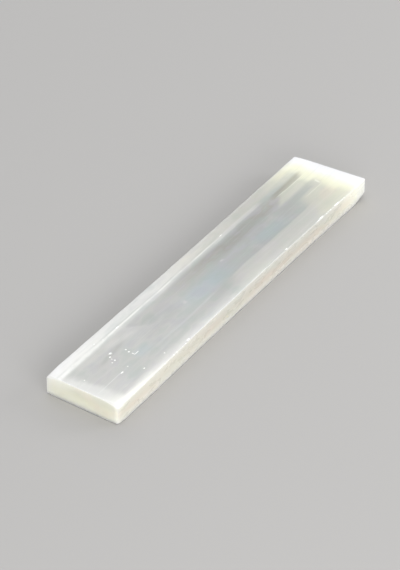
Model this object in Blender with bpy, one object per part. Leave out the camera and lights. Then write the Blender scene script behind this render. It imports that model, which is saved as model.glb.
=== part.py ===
"""A polished selenite slab: one stick of fibrous gypsum, sawn to length, ground flat and rounded by hand.

Metres, +Z up. The fibres and the long sides run along X. The slab lies on Z = 0 with the middle of its
underside on the origin. Near and far name the -X and +X ends, left and right the +Y and -Y sides.
"""

import math

import bmesh
import bpy
from mathutils import Vector

MM = 0.001

# The sawn block
LENGTH = 203.2 * MM
WIDTH = 38.6 * MM
THICKNESS = 10.4 * MM
END_SKEW = 0.034  # slope of each end cut off square, so that the right side is the longer one
LEFT_WAIST = 0.6 * MM  # how far each long side is ground inwards at mid-length
RIGHT_WAIST = 1.0 * MM
RIGHT_TAPER = 0.6 * MM  # how far the right side comes in again, towards the near end
RIGHT_TAPER_LENGTH = 40 * MM
STATIONS = 40  # steps along the length that carry the waist

# Upright corner edges, rounded: (end, side) to radius
CORNER_RADII = {
    ("near", "left"): 0.9 * MM,
    ("near", "right"): 2.4 * MM,
    ("far", "left"): 0.8 * MM,
    ("far", "right"): 0.8 * MM,
}
CORNER_STEPS = 4

# Ground by hand on the top: (distance in from the side, how far it takes the side's edge down)
LEFT_FACET_WIDTH = 6.6 * MM  # the wide, shallow bevel along the left side
LEFT_FACET_NEAR_DROP = 1.0 * MM
LEFT_FACET_FAR_DROP = 0.4 * MM
SHOULDER_WIDTH = 3.3 * MM  # the rounded shoulder at the near right corner, which runs out along the edge
SHOULDER_DROP = 2.1 * MM
SHOULDER_LENGTH = 62 * MM
SHOULDER_STEPS = 3

# The far right corner of the underside, worn away
WORN_LENGTH = 8.6 * MM
WORN_WIDTH = 9.0 * MM
WORN_HEIGHT = 2.4 * MM

EDGE_RADIUS = 0.45 * MM  # every edge, eased on the wheel
EDGE_STEPS = 4
EDGE_ANGLE = math.radians(35)  # corners flatter than this are left as they are

# Small open pits in the top, in millimetres: x, y, half length, half width
PITS_MM = [
    (-95.4, 3.1, 0.40, 0.30),
    (-74.4, 4.5, 0.85, 0.60),
    (-76.5, 3.2, 0.50, 0.35),
    (-77.1, 0.3, 0.60, 0.45),
    (-79.2, 0.2, 0.40, 0.30),
    (-68.5, 0.5, 0.40, 0.35),
    (-69.0, -1.4, 0.45, 0.40),
    (-69.1, -3.8, 0.28, 0.85),
    (-67.8, -4.5, 1.45, 0.28),
    (-82.4, -7.1, 1.00, 0.30),
    (-77.7, -6.8, 0.35, 0.25),
    (-74.9, -13.3, 0.70, 0.50),
    (-61.3, -14.5, 0.50, 0.45),
    (8.3, 1.6, 0.45, 0.35),
]
# Nicks in the two upper ridges, written the same way
NICKS_MM = [
    (-57.6, 12.8, 1.70, 0.45),
    (25.3, 12.8, 1.90, 0.45),
    (-83.0, -18.6, 1.60, 0.55),
    (-48.0, -17.9, 1.30, 0.50),
    (32.7, -18.0, 1.20, 0.55),
    (63.0, -18.4, 2.10, 0.50),
    (76.5, -18.7, 2.60, 0.55),
]
PIT_DEPTH = 0.30 * MM

# Finish
SELENITE = (0.76, 0.77, 0.75, 1.0)
ROUGHNESS = 0.16
GYPSUM_IOR = 1.52
SCATTER_RADIUS = (4.0 * MM, 4.2 * MM, 4.4 * MM)


def clear_scene():
    for scene_object in list(bpy.data.objects):
        bpy.data.objects.remove(scene_object, do_unlink=True)


def new_collection(name):
    collection = bpy.data.collections.new(name)
    bpy.context.scene.collection.children.link(collection)
    return collection


def selenite_material():
    """Milky, silky gypsum under a hand polish: light scatters a few millimetres deep."""
    material = bpy.data.materials.new("selenite")
    material.use_nodes = True
    shader = material.node_tree.nodes["Principled BSDF"]
    shader.inputs["Base Color"].default_value = SELENITE
    shader.inputs["Metallic"].default_value = 0.0
    shader.inputs["Roughness"].default_value = ROUGHNESS
    shader.inputs["IOR"].default_value = GYPSUM_IOR
    shader.inputs["Subsurface Weight"].default_value = 1.0
    shader.inputs["Subsurface Radius"].default_value = SCATTER_RADIUS
    shader.inputs["Subsurface Scale"].default_value = 1.0
    return material


def sawn_block():
    """The block as it leaves the saw, stepped along X so that its long sides can curve."""
    block = bmesh.new()
    bmesh.ops.create_cube(block, size=1.0)
    bmesh.ops.scale(block, vec=(LENGTH, WIDTH, THICKNESS), verts=block.verts)
    bmesh.ops.translate(block, vec=(0, 0, THICKNESS / 2), verts=block.verts)
    long_edges = [
        edge for edge in block.edges
        if abs(edge.verts[0].co.x - edge.verts[1].co.x) > LENGTH / 2
    ]
    bmesh.ops.subdivide_edges(block, edges=long_edges, cuts=STATIONS - 1, use_grid_fill=True)
    return block


def stands_at(edge, end, side):
    """True for the upright edge at this end and this side of the block."""
    x = LENGTH / 2 * (-1 if end == "near" else 1)
    y = WIDTH / 2 * (1 if side == "left" else -1)
    return all(abs(vertex.co.x - x) + abs(vertex.co.y - y) < 1e-6 for vertex in edge.verts)


def round_edges(block, edges, radius, steps):
    bmesh.ops.bevel(
        block, geom=edges, offset=radius, offset_type="OFFSET", segments=steps, profile=0.5, affect="EDGES"
    )


def round_corners(block):
    """Rounds the four upright corners, each by its own radius."""
    for (end, side), radius in CORNER_RADII.items():
        corner = [edge for edge in block.edges if stands_at(edge, end, side)]
        round_edges(block, corner, radius, CORNER_STEPS)


def wear_corner(block):
    """Takes the far right corner off the underside with one flat cut, and closes it."""
    on_underside = Vector((LENGTH / 2 - WORN_LENGTH, -WIDTH / 2, 0))
    on_corner = Vector((LENGTH / 2, -WIDTH / 2, WORN_HEIGHT))
    on_end = Vector((LENGTH / 2, WORN_WIDTH - WIDTH / 2, 0))
    outwards = (on_end - on_underside).cross(on_corner - on_underside).normalized()
    if outwards.z > 0:
        outwards.negate()
    cut = bmesh.ops.bisect_plane(
        block, geom=block.verts[:] + block.edges[:] + block.faces[:], dist=1e-7,
        plane_co=on_underside, plane_no=outwards, clear_outer=True,
    )
    rim = [piece for piece in cut["geom_cut"] if isinstance(piece, bmesh.types.BMEdge)]
    bmesh.ops.edgeloop_fill(block, edges=rim)
    bmesh.ops.recalc_face_normals(block, faces=block.faces)


def ease_edges(block):
    """Rounds every edge that two faces meet at steeply."""
    steep = [edge for edge in block.edges if edge.calc_face_angle(0) > EDGE_ANGLE]
    round_edges(block, steep, EDGE_RADIUS, EDGE_STEPS)


def score_top(block, y):
    """Cuts one line of points into the top, along X, for a facet to bend at."""
    top_faces = [face for face in block.faces if face.normal.z > 0.5]
    top_edges = {edge for face in top_faces for edge in face.edges}
    top_verts = {vertex for face in top_faces for vertex in face.verts}
    bmesh.ops.bisect_plane(
        block, geom=list(top_verts) + list(top_edges) + top_faces, dist=1e-6,
        plane_co=(0, y, 0), plane_no=(0, 1, 0),
    )


def ground_away(x, y):
    """How much the wheel takes off the top here: the facet on the left and the shoulder on the right."""
    from_near_end = x + LENGTH / 2
    facet_drop = LEFT_FACET_NEAR_DROP + (LEFT_FACET_FAR_DROP - LEFT_FACET_NEAR_DROP) * from_near_end / LENGTH
    facet = max(0.0, y - (WIDTH / 2 - LEFT_FACET_WIDTH)) / LEFT_FACET_WIDTH
    across = max(0.0, 1 - (y + WIDTH / 2) / SHOULDER_WIDTH)
    along = max(0.0, 1 - from_near_end / SHOULDER_LENGTH)
    return facet_drop * facet + SHOULDER_DROP * across**2 * along**1.5


def grind_top(block):
    """Scores the top where its facets begin and takes it down beyond them."""
    score_top(block, WIDTH / 2 - LEFT_FACET_WIDTH)
    for step in range(1, SHOULDER_STEPS + 1):
        score_top(block, SHOULDER_WIDTH * step / SHOULDER_STEPS - WIDTH / 2)
    for vertex in block.verts:
        if vertex.co.z > THICKNESS / 2:
            vertex.co.z -= ground_away(vertex.co.x, vertex.co.y)


def shape_plan(block):
    """Draws the long sides in at mid-length and turns both end cuts out of square."""
    for vertex in block.verts:
        along = 2 * vertex.co.x / LENGTH
        across = 2 * vertex.co.y / WIDTH
        drawn_in = (LEFT_WAIST if across > 0 else RIGHT_WAIST) * (1 - along * along)
        if across < 0:
            drawn_in += RIGHT_TAPER * max(0.0, 1 - (vertex.co.x + LENGTH / 2) / RIGHT_TAPER_LENGTH) ** 2
        vertex.co.y -= across * drawn_in
        vertex.co.x -= along * END_SKEW * vertex.co.y


def pit_cutter(collection):
    """One object of small flattened balls, sunk to half their height in the top."""
    cutter = bmesh.new()
    for x, y, half_length, half_width in PITS_MM + NICKS_MM:
        ball = bmesh.ops.create_icosphere(cutter, subdivisions=1, radius=1.0)["verts"]
        bmesh.ops.scale(cutter, vec=(half_length * MM, half_width * MM, PIT_DEPTH), verts=ball)
        bmesh.ops.translate(cutter, vec=(x * MM, y * MM, THICKNESS), verts=ball)
    mesh = bpy.data.meshes.new("pit_cutter")
    cutter.to_mesh(mesh)
    cutter.free()
    pits = bpy.data.objects.new("pit_cutter", mesh)
    pits.hide_render = True
    pits.display_type = "WIRE"
    collection.objects.link(pits)
    return pits


def slab(collection, pits):
    """The finished slab."""
    block = sawn_block()
    round_corners(block)
    wear_corner(block)
    ease_edges(block)
    grind_top(block)
    shape_plan(block)
    mesh = bpy.data.meshes.new("slab")
    block.to_mesh(mesh)
    block.free()
    mesh.materials.append(selenite_material())
    mesh.shade_smooth()
    mesh.set_sharp_from_angle(angle=EDGE_ANGLE)
    finished = bpy.data.objects.new("slab", mesh)
    collection.objects.link(finished)

    pitting = finished.modifiers.new("pits", "BOOLEAN")
    pitting.operation = "DIFFERENCE"
    pitting.solver = "EXACT"
    pitting.object = pits
    flats = finished.modifiers.new("flat faces", "WEIGHTED_NORMAL")
    flats.keep_sharp = True
    return finished


clear_scene()
cutters = new_collection("cutters")
cutters.hide_render = True
slab(new_collection("selenite slab"), pit_cutter(cutters))
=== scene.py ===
# %% [markdown]
# # A polished selenite slab
#
# Selenite is gypsum that grew as long silky fibres. A stick of it is sawn to length, ground flat on a
# wheel, eased along its edges and polished by hand. It comes out half clear: grey and a little blue where
# the eye looks down into it, milky white near every edge, and white where it is bruised.
#
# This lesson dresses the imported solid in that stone. The slab lies along X, which is also the way the
# fibres run. Near and far name its -X and +X ends, left and right its +Y and -Y sides.

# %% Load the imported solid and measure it
import math

import bmesh
import bpy
import numpy as np
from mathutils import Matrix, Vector


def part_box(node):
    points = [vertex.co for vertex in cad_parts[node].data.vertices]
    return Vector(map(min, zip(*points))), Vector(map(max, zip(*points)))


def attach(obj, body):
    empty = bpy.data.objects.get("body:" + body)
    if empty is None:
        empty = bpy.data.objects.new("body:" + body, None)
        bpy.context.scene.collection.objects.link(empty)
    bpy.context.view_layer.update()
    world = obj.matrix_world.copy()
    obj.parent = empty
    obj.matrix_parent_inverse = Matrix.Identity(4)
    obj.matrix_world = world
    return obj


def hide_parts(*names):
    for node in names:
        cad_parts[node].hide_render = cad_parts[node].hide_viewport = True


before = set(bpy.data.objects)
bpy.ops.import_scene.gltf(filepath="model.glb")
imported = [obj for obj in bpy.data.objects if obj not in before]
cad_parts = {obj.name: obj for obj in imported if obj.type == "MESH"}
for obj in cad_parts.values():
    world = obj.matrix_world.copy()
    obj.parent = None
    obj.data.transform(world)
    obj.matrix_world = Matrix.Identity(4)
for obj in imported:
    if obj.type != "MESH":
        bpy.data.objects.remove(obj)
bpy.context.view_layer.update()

MM = 0.001
slab_low, slab_high = (np.array(corner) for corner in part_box("slab"))
END_SKEW = 0.034  # how far out of square each end is cut, as a slope
half_width = (slab_high[1] - slab_low[1]) / 2
half_length = (slab_high[0] - slab_low[0]) / 2 - END_SKEW * half_width
thickness = slab_high[2]

# %% [markdown]
# ## Helpers
#
# Colours are written the way a paint chart gives them, as sRGB hex values, and shaders want linear light,
# so one function turns the first into the second. Another adds a node, with its settings and whatever
# feeds it, so that a material reads as a list of steps.


# %% Colours and nodes
def linear(hex_colour, alpha=1.0):
    """An sRGB hex colour as linear RGBA."""
    channels = [int(hex_colour[i:i + 2], 16) / 255 for i in (1, 3, 5)]
    return [c / 12.92 if c <= 0.04045 else ((c + 0.055) / 1.055) ** 2.4 for c in channels] + [alpha]


def used(node):
    """The one output of a node that its settings leave in use."""
    return next(output for output in node.outputs if output.enabled)


def add(tree, kind, feeds=None, **settings):
    """Adds a node, sets it up, and feeds its inputs from values or from other nodes' outputs."""
    node = tree.nodes.new(kind)
    for name, value in settings.items():
        setattr(node, name, value)
    for key, value in (feeds or {}).items():
        socket = node.inputs[key]
        if isinstance(value, bpy.types.Node):
            value = used(value)
        if isinstance(value, bpy.types.NodeSocket):
            tree.links.new(value, socket)
        else:
            socket.default_value = value
    return node


# %% [markdown]
# ## The shape of the stone
#
# The slab could be a box with a Bevel modifier, but a hand-ground stone has no two edges alike: here the
# radius is a third of a millimetre, there a whole one. So the shape is written as a distance. Each ground
# face says how far outside it a point lies, and a rounded maximum joins the faces with an edge of whatever
# radius the stone has there. The surface is where the distance is zero.

# %% Real sizes of the ground faces
LEFT_WAIST = 0.6 * MM  # the long sides are ground in at mid-length
RIGHT_WAIST = 1.0 * MM
RIGHT_TAPER = 0.6 * MM  # and the right side comes in again towards the near end
RIGHT_TAPER_LENGTH = 40 * MM
LEFT_FACET_WIDTH = 6.6 * MM  # a wide, shallow bevel along the top's left side
LEFT_FACET_NEAR_DROP = 1.0 * MM
LEFT_FACET_FAR_DROP = 0.4 * MM
RIDGE_SOFTNESS = 0.15 * MM  # how softly the top turns into that bevel
RIDGE_FADES_FROM = 0.6  # from this share of the length on, the ridge between them grows softer
RIDGE_FADE = 2.2 * MM  # by this much over a whole length
RIDGE_WANDER, RIDGE_WAVE = 0.18 * MM, 71 * MM
SHOULDER_WIDTH = 3.3 * MM  # a rounded shoulder that starts at the near right corner
SHOULDER_DROP = 2.1 * MM
SHOULDER_LENGTH = 62 * MM
WORN_CORNER = np.array([8.6, 9.0, 2.4]) * MM  # knocked off the far right corner underneath, along X, Y and Z
WORN_CUT_RADIUS = 0.7 * MM
CORNER_RADII = {(-1, 1): 0.35 * MM, (-1, -1): 1.7 * MM, (1, 1): 0.8 * MM, (1, -1): 0.8 * MM}
LEAST_CORNER_RADIUS = 0.25 * MM
EDGE_RADIUS = 0.32 * MM
EDGE_VARIATION, EDGE_WAVE = 0.35, 23 * MM  # the radius varies by up to this share of itself
EDGE_REACH = 1.6 * MM  # a point this far from the nearest edge no longer counts as close to it
# Two corners of the near end are worn rounder: the side of each, and what that adds to the radius of the
# edges underneath and on top
WORN_ROUND = ((-1, 0.8 * MM, 2.4 * MM), (1, 0.5 * MM, 1.1 * MM))
WORN_SPREAD = 5 * MM
LEFT_CORNER_GROWTH = 0.5 * MM  # the near left corner is sharp underneath and rounder towards the top
LEFT_CORNER_LISTED_AT = 0.4  # it has its listed radius at this share of the thickness
print(f"left facet {LEFT_FACET_WIDTH / MM:.1f} mm wide, right shoulder {SHOULDER_LENGTH / MM:.0f} mm long")

# %% [markdown]
# ### Where the faces stand
#
# The long sides are hollow by up to a millimetre, the ridge of the left facet wanders a little, and the
# right shoulder runs out more than half way to the middle. Each is a short function of the place along X.


# %% The two sides, the ridge and the top
def wander(along, wavelength, seed):
    """A slow wander between -1 and 1, the same every time: three sine waves with no common length."""
    turns = 2 * math.pi * along / wavelength
    waves = np.sin(turns + seed), np.sin(turns * 1.618 + 2.3 * seed), np.sin(turns * 2.71 + 4.1 * seed)
    return sum(waves) / 3


def side_places(x):
    """Where the left and right sides stand at x."""
    bow = 1 - (x / half_length) ** 2
    taper = RIGHT_TAPER * np.maximum(0, 1 - (x + half_length) / RIGHT_TAPER_LENGTH) ** 2
    return half_width - LEFT_WAIST * bow, -half_width + RIGHT_WAIST * bow + taper


def ridge_place(x):
    """Where the ridge between the flat top and the left facet runs."""
    return half_width - LEFT_FACET_WIDTH + RIDGE_WANDER * wander(x, RIDGE_WAVE, 1.0)


def top_height(x, y):
    """The height of the polished top: flat, with a facet on the left and a shoulder on the right."""
    from_near_end = np.clip((x + half_length) / (2 * half_length), 0, 1)
    facet_drop = LEFT_FACET_NEAR_DROP + (LEFT_FACET_FAR_DROP - LEFT_FACET_NEAR_DROP) * from_near_end
    softness = RIDGE_SOFTNESS + RIDGE_FADE * np.clip(from_near_end - RIDGE_FADES_FROM, 0, 1)
    past_ridge = (y - ridge_place(x) + np.hypot(y - ridge_place(x), softness)) / 2
    across = np.maximum(0, 1 - (y + half_width) / SHOULDER_WIDTH)
    along = np.maximum(0, 1 - (x + half_length) / SHOULDER_LENGTH)
    return thickness - facet_drop * past_ridge / LEFT_FACET_WIDTH - SHOULDER_DROP * across**2 * along**1.5


left, right = side_places(0)
left_edge = top_height(0, left)
print(f"at mid-length {(left - right) / MM:.1f} mm wide, with its left edge {left_edge / MM:.1f} mm high")

# %% [markdown]
# ### One distance for the whole stone
#
# The ends and sides are joined by the radius of the upright corner between them. The result is joined to
# the top and the underside by the radius of the edge there, which varies along it and grows at a worn
# corner. Last, one flat cut takes the corner that was knocked off underneath.


# %% The stone as a distance
def rounded_max(first, second, radius):
    """The larger of two distances, with a round edge where they meet."""
    both_outside = np.hypot(np.maximum(first + radius, 0), np.maximum(second + radius, 0))
    return np.minimum(np.maximum(first, second) + radius, 0) + both_outside - radius


def outside(points):
    """How far each point lies outside the stone, and how close it is to an edge of it, from 0 to 1."""
    x, y, z = points.T
    left, right = side_places(x)
    ends = np.maximum(-half_length + END_SKEW * y - x, x - half_length + END_SKEW * y)
    sides = np.maximum(y - left, right - y)
    corner_radius = sum(
        radius * ((np.sign(x) == end) & (np.sign(y) == side)) for (end, side), radius in CORNER_RADII.items()
    )
    height = np.clip(z / thickness, 0, 1)
    growth = LEFT_CORNER_GROWTH * (height - LEFT_CORNER_LISTED_AT)
    corner_radius = corner_radius + growth * ((x < 0) & (y > 0))
    plan = rounded_max(ends, sides, np.maximum(corner_radius, LEAST_CORNER_RADIUS))
    flats = np.maximum(z - top_height(x, y), -z)
    edge_radius = EDGE_RADIUS * (1 + EDGE_VARIATION * wander(x + 3 * y + 5 * z, EDGE_WAVE, 2.0))
    for side, underneath, on_top in WORN_ROUND:
        distance = np.hypot(x + half_length, y - side * half_width)
        extra = underneath + (on_top - underneath) * height
        edge_radius = edge_radius + extra * np.exp(-(distance / WORN_SPREAD) ** 2)
    stone = rounded_max(plan, flats, edge_radius)
    lost = (x - half_length) / WORN_CORNER[0] - (y + half_width) / WORN_CORNER[1] - z / WORN_CORNER[2] + 1
    stone = rounded_max(stone, lost / np.linalg.norm(1 / WORN_CORNER), WORN_CUT_RADIUS)
    closeness = np.clip(1 + np.minimum(plan, flats) / EDGE_REACH, 0, 1)
    return stone, closeness


middle = np.array([[0, 0, thickness / 2]])
print(f"the middle of the stone is {-outside(middle)[0][0] / MM:.1f} mm inside it")

# %% [markdown]
# ## A skin of ruled squares
#
# The mesh starts as the skin of a plain box, ruled into squares that are small along the edges and over
# the pitted near end, and larger elsewhere. A subdivided cube would spend as many squares on the plain
# middle.


# %% Rule a box
def ruled(*stretches):
    """Places along an edge: each stretch runs on to a place, in steps of about a size."""
    places = [stretches[0][0]]
    for place, step in stretches[1:]:
        count = max(1, round((place - places[-1]) / step))
        places += list(np.linspace(places[-1], place, count + 1)[1:])
    return np.array(places)


def box_skin(xs, ys, zs):
    """The points and four-sided faces of a closed box, ruled at the given places."""
    points, faces = [], []
    for fixed, first, second in ((2, 0, 1), (1, 0, 2), (0, 1, 2)):
        rulings = (xs, ys, zs)
        a, b = np.meshgrid(rulings[first], rulings[second], indexing="ij")
        for place in (rulings[fixed][0], rulings[fixed][-1]):
            sheet = np.empty(a.shape + (3,))
            sheet[..., first], sheet[..., second], sheet[..., fixed] = a, b, place
            index = np.arange(a.size).reshape(a.shape) + sum(len(done) for done in points)
            faces.append(np.stack([index[:-1, :-1], index[1:, :-1], index[1:, 1:], index[:-1, 1:]], -1))
            points.append(sheet.reshape(-1, 3))
    return np.concatenate(points), np.concatenate([sheet.reshape(-1, 4) for sheet in faces])


xs = ruled(
    (-half_length, 0), (-half_length + 5 * MM, 0.25 * MM), (-58 * MM, 0.5 * MM),
    (half_length - 3 * MM, 0.8 * MM), (half_length, 0.25 * MM),
)
ys = ruled(
    (-half_width, 0), (-half_width + 3.6 * MM, 0.24 * MM), (11.6 * MM, 0.5 * MM), (13.8 * MM, 0.22 * MM),
    (half_width - 1.2 * MM, 0.5 * MM), (half_width, 0.2 * MM),
)
zs = ruled((0, 0), (1.2 * MM, 0.2 * MM), (thickness - 3.4 * MM, 0.6 * MM), (thickness, 0.22 * MM))
box_points, faces = box_skin(xs, ys, zs)
print(f"box skin of {len(faces)} squares, ruled {len(xs)} x {len(ys)} x {len(zs)}")

# %% [markdown]
# ### Shrink it onto the stone
#
# Each point slides along a straight line that starts inside the stone, until the distance is zero. Thirty
# halvings find that place to well under a thousandth of a millimetre.


# %% Slide every point onto the stone
# The lines start on a smaller box in the middle of the stone: half its length, width and thickness
SPINE = np.array([half_length - 4 * MM, half_width - 4 * MM, 1 * MM])
HALVINGS = 30
WELL_OUTSIDE = 1.4  # each search ends this many times as far out as the point on the box


def shrunk(points):
    """The points, slid onto the stone along lines from the box in its middle."""
    centre = np.array([0, 0, thickness / 2])
    inner = centre + np.clip(points - centre, -SPINE, SPINE)
    low, high = np.zeros(len(points)), np.full(len(points), WELL_OUTSIDE)
    for _ in range(HALVINGS):
        middle = (low + high) / 2
        is_out = outside(inner + (points - inner) * middle[:, None])[0] > 0
        high = np.where(is_out, middle, high)
        low = np.where(is_out, low, middle)
    return inner + (points - inner) * high[:, None]


points = shrunk(box_points)
skin_mesh = bpy.data.meshes.new("skin")
skin_mesh.from_pydata(points.tolist(), [], faces.tolist())
skin = bmesh.new()
skin.from_mesh(skin_mesh)
bmesh.ops.remove_doubles(skin, verts=skin.verts, dist=1e-7)
bmesh.ops.recalc_face_normals(skin, faces=skin.faces)
skin.to_mesh(skin_mesh)
skin.free()
moved = np.linalg.norm(points - box_points, axis=1).max()
print(f"skin of {len(skin_mesh.polygons)} squares, moved by up to {moved / MM:.1f} mm")

# %% [markdown]
# ## Pits, nicks and chips
#
# Here and there a few fibres have come out of the polished top and left a shallow white pit, and the
# ridges and edges have small nicks and chips. Each could be sculpted, but they are all one thing, a
# shallow lens of stone that broke away, so Geometry Nodes puts a lens at each place, roughens them all,
# and one Boolean cuts them out. The cut faces take the lens's own material: bruised gypsum, which is white
# and matt.

# %% Two materials, filled in later, and a way to run a tree
gypsum = bpy.data.materials.new("selenite_hand_polished")
bruised = bpy.data.materials.new("selenite_bruised")


def grown(source_mesh, tree, **inputs):
    """Runs a Geometry Nodes tree on a mesh, with its inputs given by name, and gives back a plain mesh."""
    source = bpy.data.objects.new(tree.name, source_mesh)
    bpy.context.scene.collection.objects.link(source)
    modifier = source.modifiers.new(tree.name, "NODES")
    modifier.node_group = tree
    for socket in tree.interface.items_tree:
        if socket.name in inputs:
            modifier[socket.identifier] = inputs[socket.name]
    result = bpy.data.meshes.new_from_object(source.evaluated_get(bpy.context.evaluated_depsgraph_get()))
    bpy.data.objects.remove(source)
    return result


def new_tree(name, inputs):
    """An empty Geometry Nodes tree with these inputs after its geometry, given as name to kind."""
    tree = bpy.data.node_groups.new(name, "GeometryNodeTree")
    tree.is_modifier = True
    tree.interface.new_socket("Geometry", in_out="INPUT", socket_type="NodeSocketGeometry")
    for socket, kind in inputs.items():
        tree.interface.new_socket(socket, in_out="INPUT", socket_type=f"NodeSocket{kind}")
    tree.interface.new_socket("Geometry", in_out="OUTPUT", socket_type="NodeSocketGeometry")
    return tree, tree.nodes.new("NodeGroupInput").outputs, tree.nodes.new("NodeGroupOutput").inputs


print("materials:", gypsum.name, "and", bruised.name)

# %% [markdown]
# ### A lens at each pit
#
# A pit has no more than a few dozen faces: a ball stretched to the pit's size, sunk to its middle in the
# top, with its sides pushed about by a noise whose lumps are about half a millimetre. The pits lie where
# fibres came out, so each has a place of its own in a short list.


# %% Lenses of stone that broke away
LUMP = 0.6 * MM


def add_lenses(tree, given, result, at, scale, selection=True):
    """Ends a tree: a rough-sided lens on each point, all merged into one mesh, with their material."""
    ball = add(tree, "GeometryNodeMeshIcoSphere", {"Radius": 1.0, "Subdivisions": 2})
    lenses = add(tree, "GeometryNodeInstanceOnPoints", {
        "Points": at, "Selection": selection, "Instance": ball.outputs["Mesh"], "Scale": scale,
    })
    solid = add(tree, "GeometryNodeRealizeInstances", {"Geometry": lenses})
    lumps = add(tree, "ShaderNodeTexNoise", {"Scale": 1 / LUMP, "Detail": 1.0})
    push = add(tree, "ShaderNodeVectorMath", {
        0: lumps.outputs["Color"], 1: (0.5, 0.5, 0.5),
    }, operation="SUBTRACT")
    push = add(tree, "ShaderNodeVectorMath", {0: push, "Scale": given["Roughness"]}, operation="SCALE")
    rough = add(tree, "GeometryNodeSetPosition", {"Geometry": solid, "Offset": push})
    merged = add(tree, "GeometryNodeMeshBoolean", {
        "Mesh 2": rough, "Self Intersection": True,
    }, operation="UNION", solver="EXACT")
    done = add(tree, "GeometryNodeSetMaterial", {
        "Geometry": merged.outputs["Mesh"], "Material": given["Material"],
    })
    tree.links.new(done.outputs["Geometry"], result["Geometry"])


def pit_tree():
    """A lens on each point of a mesh, as long and wide as its attributes say and Depth deep."""
    tree, given, result = new_tree("pits", {"Depth": "Float", "Roughness": "Float", "Material": "Material"})
    sizes = [
        add(tree, "GeometryNodeInputNamedAttribute", {"Name": name}, data_type="FLOAT").outputs["Attribute"]
        for name in ("half_length", "half_width")
    ]
    scale = add(tree, "ShaderNodeCombineXYZ", {"X": sizes[0], "Y": sizes[1], "Z": given["Depth"]})
    add_lenses(tree, given, result, given["Geometry"], scale)
    return tree


# Every pit in the top and nick in the ridges, in millimetres: x, y, half length, half width
PITS_MM = [
    (-95.4, 3.1, 0.28, 0.22), (-74.4, 4.5, 0.75, 0.55), (-76.5, 3.2, 0.45, 0.32), (-77.3, 1.8, 0.22, 0.20),
    (-77.1, 0.3, 0.42, 0.36), (-79.2, 0.2, 0.32, 0.26), (-68.5, 0.5, 0.36, 0.32), (-69.0, -1.4, 0.42, 0.38),
    (-69.1, -3.8, 0.20, 0.75), (-67.7, -4.5, 1.50, 0.18), (-82.4, -7.1, 0.85, 0.26),
    (-77.7, -6.8, 0.22, 0.18), (-74.9, -13.3, 0.50, 0.20), (-61.3, -14.5, 0.36, 0.32),
    (-57.6, 12.6, 1.20, 0.34), (25.3, 12.7, 1.10, 0.16), (-72.7, 14.2, 0.60, 0.30),
    (-83.0, -18.6, 1.40, 0.45), (-48.0, -17.9, 1.10, 0.40), (32.7, -18.0, 0.80, 0.30),
    (63.0, -18.4, 1.90, 0.42), (76.5, -18.7, 2.30, 0.45),
]
PIT_DEPTH = 0.22 * MM


def point_cloud(name, places, **attributes):
    """A mesh of loose points, with one number a point for each attribute."""
    cloud = bpy.data.meshes.new(name)
    cloud.from_pydata(places, [], [])
    for attribute, values in attributes.items():
        cloud.attributes.new(attribute, "FLOAT", "POINT").data.foreach_set("value", values)
    return cloud


pits = np.array(PITS_MM) * MM
marks = point_cloud(
    "pit_marks", np.column_stack([pits[:, :2], top_height(pits[:, 0], pits[:, 1])]).tolist(),
    half_length=pits[:, 2].tolist(), half_width=pits[:, 3].tolist(),
)
pit_lenses = grown(marks, pit_tree(), Depth=PIT_DEPTH, Roughness=0.16 * MM, Material=bruised)
print(f"{len(pits)} pits and nicks, {len(pit_lenses.polygons)} faces")

# %% [markdown]
# ### Chips along the edges
#
# The thin upper edges lost crumbs too small to place one by one. The same lenses are scattered along lines
# just inside those edges: a point every 2.3 mm, three in ten of them used, and a fixed seed, so that every
# run gives the same chips.


# %% Scatter chips along the worn edges
CHIP_INSET = 0.10 * MM  # the lines run this far inside the edges and below the top
CHIPS_START = 2 * MM  # and they stop this far short of both ends
NEAR_CHIPS_END = -46 * MM  # the right edge is chipped from the near end to here
FAR_CHIPS = (58 * MM, 84 * MM)  # and again between these places
LINE_POINTS = 120
RIDGE_POINTS = 24  # the ridge is chipped along the first of them


def chip_tree():
    """Lenses on a random Share of the points Spacing apart on a mesh's lines, half widths up to Size."""
    numbers = {"Spacing": "Float", "Size": "Float", "Share": "Float", "Roughness": "Float", "Seed": "Int"}
    tree, given, result = new_tree("edge chips", numbers | {"Material": "Material"})
    lines = add(tree, "GeometryNodeMeshToCurve", {"Mesh": given["Geometry"]})
    along = add(tree, "GeometryNodeCurveToPoints", {
        "Curve": lines, "Length": given["Spacing"],
    }, mode="LENGTH")
    chance = add(tree, "FunctionNodeRandomValue", {
        "Probability": given["Share"], "Seed": given["Seed"],
    }, data_type="BOOLEAN")
    next_seed = add(tree, "ShaderNodeMath", {0: given["Seed"], 1: 1.0}, operation="ADD")
    random_size = add(tree, "FunctionNodeRandomValue", {
        0: (0.9, 0.4, 0.3), 1: (2.2, 1.0, 0.8), "Seed": next_seed,
    }, data_type="FLOAT_VECTOR")
    scale = add(tree, "ShaderNodeVectorMath", {0: random_size, "Scale": given["Size"]}, operation="SCALE")
    add_lenses(tree, given, result, along.outputs["Points"], scale, chance)
    return tree


def edge_lines():
    """The stretches of the upper edges and of the ridge that are worn, as one mesh of lines."""
    x = np.linspace(-half_length + CHIPS_START, half_length - CHIPS_START, LINE_POINTS)
    left, right = side_places(x)
    near, far = x < NEAR_CHIPS_END, (x > FAR_CHIPS[0]) & (x < FAR_CHIPS[1])
    lines = [(x, left - CHIP_INSET), (x[near], right[near] + CHIP_INSET), (x[far], right[far] + CHIP_INSET)]
    lines.append((x[:RIDGE_POINTS], ridge_place(x[:RIDGE_POINTS])))
    places, links = [], []
    for line_x, line_y in lines:
        links += [(i, i + 1) for i in range(len(places), len(places) + len(line_x) - 1)]
        places += np.column_stack([line_x, line_y, top_height(line_x, line_y) - CHIP_INSET]).tolist()
    mesh = bpy.data.meshes.new("edge_lines")
    mesh.from_pydata(places, links, [])
    return mesh


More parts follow.
